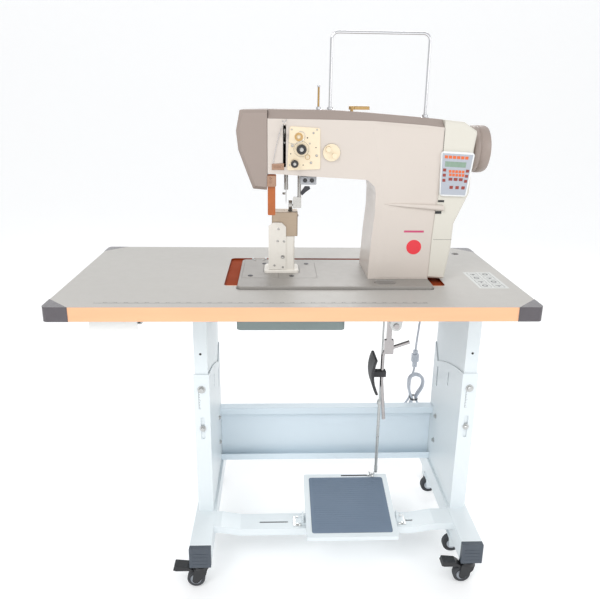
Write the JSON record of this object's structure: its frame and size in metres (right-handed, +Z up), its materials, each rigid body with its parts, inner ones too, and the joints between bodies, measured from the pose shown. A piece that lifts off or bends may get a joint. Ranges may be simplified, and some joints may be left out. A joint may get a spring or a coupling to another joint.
{
  "type": "leather sewing machine",
  "caption": "Post-bed roller sewing machine for leather on a height-adjustable rolling stand with worktop, treadle and knee lifter.",
  "frame": {"origin": "on the floor, under the centre of the worktop", "axes": "+X to the operator's right along the worktop, +Y to the rear, +Z up"},
  "size_m": [1.2, 0.6, 1.483],
  "materials": {
    "stand_white": "powder coat, satin",
    "slate_cap": "moulded, matt",
    "zinc_steel": "zinc plated",
    "caster_black": "moulded nylon",
    "tyre_dark": "solid rubber tread",
    "laminate": "light gray laminate with a peach edge band",
    "guard_gray": "moulded",
    "pan_green": "moulded, gray-green",
    "knee_black": "rubber pad",
    "dark_steel": "black oxide",
    "drawer_white": "moulded",
    "box_gray": "painted sheet",
    "bed_silver": "ground and lacquered",
    "bright_steel": "polished",
    "cream_paint": "smooth enamel",
    "taupe_cover": "fine textured",
    "ivory_cover": "fine textured",
    "panel_gray": "membrane panel",
    "chrome": "chrome plated",
    "gold_plate": "brushed gold tone",
    "knob_black": "knurled",
    "belt_rubber": "toothed belt",
    "switch_gray": "moulded",
    "amber": "amber",
    "cord_gray": "light gray sheath",
    "copper": "wound copper and laminations"
  },
  "bodies": {
    "stand": {"lower_legs": "stand_white", "foot_end_caps": "slate_cap", "rear_crossbar": "stand_white", "treadle_bar": "stand_white", "stand_bolts": "zinc_steel"},
    "caster_left": {"caster_fork_left": "caster_black"},
    "caster_right": {"caster_fork_right": "caster_black"},
    "caster_wheel_left": {"caster_wheel_left": "tyre_dark"},
    "caster_wheel_right": {"caster_wheel_right": "tyre_dark"},
    "brake_pedal_left": {"brake_pedal_left": "caster_black"},
    "brake_pedal_right": {"brake_pedal_right": "caster_black"},
    "rear_wheels": {"rear_wheels": "tyre_dark"},
    "transport_wheels": {"transport_wheels": "tyre_dark"},
    "treadle": {"treadle": "stand_white"},
    "pitman_lower": {"pitman_rod_lower": "zinc_steel"},
    "pitman_upper": {"pitman_rod_upper": "zinc_steel"},
    "table": {"worktop": "laminate", "corner_guards": "guard_gray", "upper_legs": "stand_white", "oil_pan": "pan_green", "worktop_fittings": "zinc_steel", "control_box": "box_gray", "power_cord": "cord_gray", "cord_connector": "cord_gray", "cord_hank": "cord_gray", "mains_plug": "cord_gray"},
    "drawer": {"drawer": "drawer_white"},
    "speed_lever": {"speed_lever": "zinc_steel"},
    "knee_lifter": {"knee_lifter": "dark_steel", "knee_pad": "knee_black"},
    "head": {"bed": "bed_silver", "bed_plates": "bright_steel", "post": "bed_silver", "post_cap": "bright_steel", "timing_belt": "belt_rubber", "arm_casting": "cream_paint", "top_cover": "taupe_cover", "face_cover": "taupe_cover", "right_cover": "ivory_cover", "control_panel": "panel_gray", "motor_stator": "copper", "tension_plates": "gold_plate", "thread_guides": "chrome", "switch_box": "switch_gray", "finger_guard": "amber"},
    "main_shaft": {"main_shaft": "bright_steel", "handwheel": "taupe_cover"},
    "lower_shaft": {"lower_shaft": "bright_steel"},
    "hook": {"hook": "bright_steel"},
    "feed_wheel": {"feed_wheel": "bright_steel"},
    "needle_bar": {"needle_bar": "bright_steel"},
    "presser_bar": {"presser_bar": "bright_steel"},
    "roller_foot": {"roller_foot": "bright_steel"},
    "take_up_lever": {"take_up_lever": "bright_steel"},
    "tension_knob_upper": {"tension_knob_upper": "knob_black"},
    "tension_knob_lower": {"tension_knob_lower": "knob_black"},
    "foot_lock_lever": {"foot_lock_lever": "gold_plate"},
    "button_left": {"button_left": "knob_black"},
    "button_right": {"button_right": "knob_black"},
    "hand_lift_lever": {"hand_lift_lever": "dark_steel"}
  },
  "joints": [
    {"name": "table_height", "type": "slide", "parent": "stand", "child": "table", "axis": [0, 0, 1], "range_m": [-0.08, 0.12]},
    {"name": "head_tilt", "type": "hinge", "parent": "table", "child": "head", "pos_m": [0.1, 0.124, 0.844], "axis": [-1, 0, 0], "range_deg": [0, 70]},
    {"name": "handwheel_turn", "type": "hinge", "parent": "head", "child": "main_shaft", "pos_m": [0.493, 0, 1.193], "axis": [1, 0, 0], "continuous": true},
    {"name": "lower_shaft_turn", "type": "hinge", "parent": "head", "child": "lower_shaft", "pos_m": [0.3, 0, 0.797], "axis": [1, 0, 0], "continuous": true},
    {"name": "hook_turn", "type": "hinge", "parent": "head", "child": "hook", "pos_m": [-0.04, 0, 1.003], "axis": [0, 0, 1], "continuous": true},
    {"name": "needle_stroke", "type": "slide", "parent": "head", "child": "needle_bar", "axis": [0, 0, 1], "range_m": [-0.036, 0]},
    {"name": "take_up_swing", "type": "hinge", "parent": "head", "child": "take_up_lever", "pos_m": [-0.028, -0.052, 1.209], "axis": [1, 0, 0], "range_deg": [0, 42]},
    {"name": "presser_lift", "type": "slide", "parent": "head", "child": "presser_bar", "axis": [0, 0, 1], "range_m": [0, 0.012]},
    {"name": "feed_wheel_turn", "type": "hinge", "parent": "head", "child": "feed_wheel", "pos_m": [-0.01, 0, 1.0075], "axis": [1, 0, 0], "continuous": true},
    {"name": "roller_foot_turn", "type": "hinge", "parent": "presser_bar", "child": "roller_foot", "pos_m": [-0.01, 0, 1.0369], "axis": [1, 0, 0], "continuous": true},
    {"name": "tension_upper_turn", "type": "hinge", "parent": "head", "child": "tension_knob_upper", "pos_m": [0.015, -0.105, 1.195], "axis": [0, 1, 0], "range_deg": [-360, 360]},
    {"name": "tension_lower_turn", "type": "hinge", "parent": "head", "child": "tension_knob_lower", "pos_m": [-0.002, -0.105, 1.159], "axis": [0, 1, 0], "range_deg": [-360, 360]},
    {"name": "foot_lock_turn", "type": "hinge", "parent": "head", "child": "foot_lock_lever", "pos_m": [0.147, -0.03, 1.295], "axis": [0, 0, 1], "range_deg": [-35, 35]},
    {"name": "button_left_press", "type": "slide", "parent": "head", "child": "button_left", "axis": [0, 1, 0], "range_m": [0, 0.0025], "stiffness_N_per_m": 400},
    {"name": "button_right_press", "type": "slide", "parent": "head", "child": "button_right", "axis": [0, 1, 0], "range_m": [0, 0.0025], "stiffness_N_per_m": 400},
    {"name": "hand_lift_swing", "type": "hinge", "parent": "head", "child": "hand_lift_lever", "pos_m": [0.034, -0.079, 1.093], "axis": [0, -1, 0], "range_deg": [0, 30]},
    {"name": "drawer_slide", "type": "slide", "parent": "table", "child": "drawer", "axis": [0, -1, 0], "range_m": [0, 0.24]},
    {"name": "treadle_tilt", "type": "hinge", "parent": "stand", "child": "treadle", "pos_m": [0.168, -0.165, 0.15], "axis": [1, 0, 0], "range_deg": [-8, 8], "stiffness_Nm_per_rad": 40},
    {"name": "pitman_joint", "type": "hinge", "parent": "treadle", "child": "pitman_lower", "pos_m": [0.268, -0.004, 0.192], "axis": [1, 0, 0], "range_deg": [-8, 8]},
    {"name": "pitman_extension", "type": "slide", "parent": "pitman_lower", "child": "pitman_upper", "axis": [0, 0, 1], "range_m": [-0.08, 0.12]},
    {"name": "speed_lever_swing", "type": "hinge", "parent": "table", "child": "speed_lever", "pos_m": [0.265, 0.072, 0.73], "axis": [1, 0, 0], "range_deg": [-17.5, 17.5]},
    {"name": "knee_swing", "type": "hinge", "parent": "table", "child": "knee_lifter", "pos_m": [0.262, -0.16, 0.758], "axis": [0, -1, 0], "range_deg": [0, 25], "stiffness_Nm_per_rad": 4},
    {"name": "caster_swivel_left", "type": "hinge", "parent": "stand", "child": "caster_left", "pos_m": [-0.2554, -0.26, 0.066], "axis": [0, 0, 1], "continuous": true},
    {"name": "caster_roll_left", "type": "hinge", "parent": "caster_left", "child": "caster_wheel_left", "pos_m": [-0.2714, -0.26, 0.025], "axis": [0, 1, 0], "continuous": true},
    {"name": "brake_press_left", "type": "hinge", "parent": "caster_left", "child": "brake_pedal_left", "pos_m": [-0.2794, -0.26, 0.056], "axis": [0, -1, 0], "range_deg": [0, 6]},
    {"name": "caster_swivel_right", "type": "hinge", "parent": "stand", "child": "caster_right", "pos_m": [0.4972, -0.26, 0.066], "axis": [0, 0, 1], "continuous": true},
    {"name": "caster_roll_right", "type": "hinge", "parent": "caster_right", "child": "caster_wheel_right", "pos_m": [0.4812, -0.26, 0.025], "axis": [0, 1, 0], "continuous": true},
    {"name": "brake_press_right", "type": "hinge", "parent": "caster_right", "child": "brake_pedal_right", "pos_m": [0.4732, -0.26, 0.056], "axis": [0, -1, 0], "range_deg": [0, 6]},
    {"name": "rear_wheels_roll", "type": "hinge", "parent": "stand", "child": "rear_wheels", "pos_m": [0.12, 0.214, 0.025], "axis": [1, 0, 0], "continuous": true},
    {"name": "transport_wheels_roll", "type": "hinge", "parent": "stand", "child": "transport_wheels", "pos_m": [0.477, -0.023, 0.048], "axis": [0, 1, 0], "continuous": true}
  ],
  "couplings": [
    {"joint": "lower_shaft_turn", "follows": "handwheel_turn", "ratio": 1},
    {"joint": "hook_turn", "follows": "handwheel_turn", "ratio": -2},
    {"joint": "take_up_swing", "follows": "needle_stroke", "rad_per_m": -20},
    {"joint": "presser_lift", "follows": "knee_swing", "m_per_rad": 0.0274},
    {"joint": "roller_foot_turn", "follows": "feed_wheel_turn", "ratio": -1.0714},
    {"joint": "pitman_joint", "follows": "treadle_tilt", "ratio": -1},
    {"joint": "speed_lever_swing", "follows": "treadle_tilt", "ratio": -2.1184},
    {"joint": "pitman_extension", "follows": "table_height", "ratio": 1}
  ]
}
